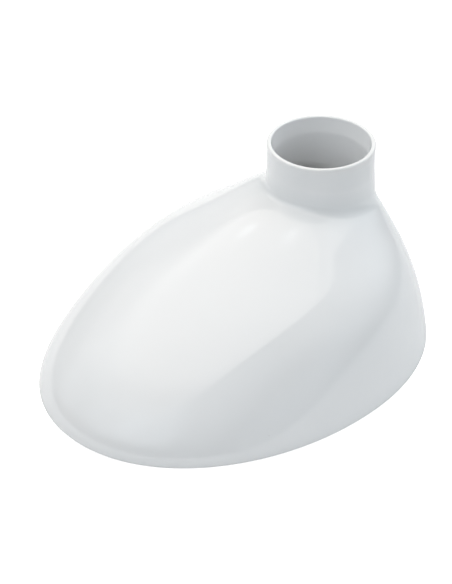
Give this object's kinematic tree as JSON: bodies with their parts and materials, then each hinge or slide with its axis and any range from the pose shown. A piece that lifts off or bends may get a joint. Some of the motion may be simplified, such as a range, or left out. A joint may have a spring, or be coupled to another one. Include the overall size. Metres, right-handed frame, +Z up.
{
  "type": "porcelain bowl insert",
  "caption": "Thin glazed porcelain bowl, mouth down, with an oval rim, a long front slope and a round open outlet collar on top near its steep rear.",
  "frame": {"origin": "middle of the mouth's length and width, on the plane of the mouth rim, which the part stands on", "axes": "+Z is up, out of the mouth plane towards the outlet and along its axis. +X is towards the long front slope. +Y completes the right-handed frame, and XZ is the plane of symmetry."},
  "size_m": [0.3141, 0.248, 0.1475],
  "materials": {
    "glaze": "high-gloss white glaze"
  },
  "bodies": {
    "root": {"bowl": "glaze", "outlet_collar": "glaze"}
  },
  "joints": []
}
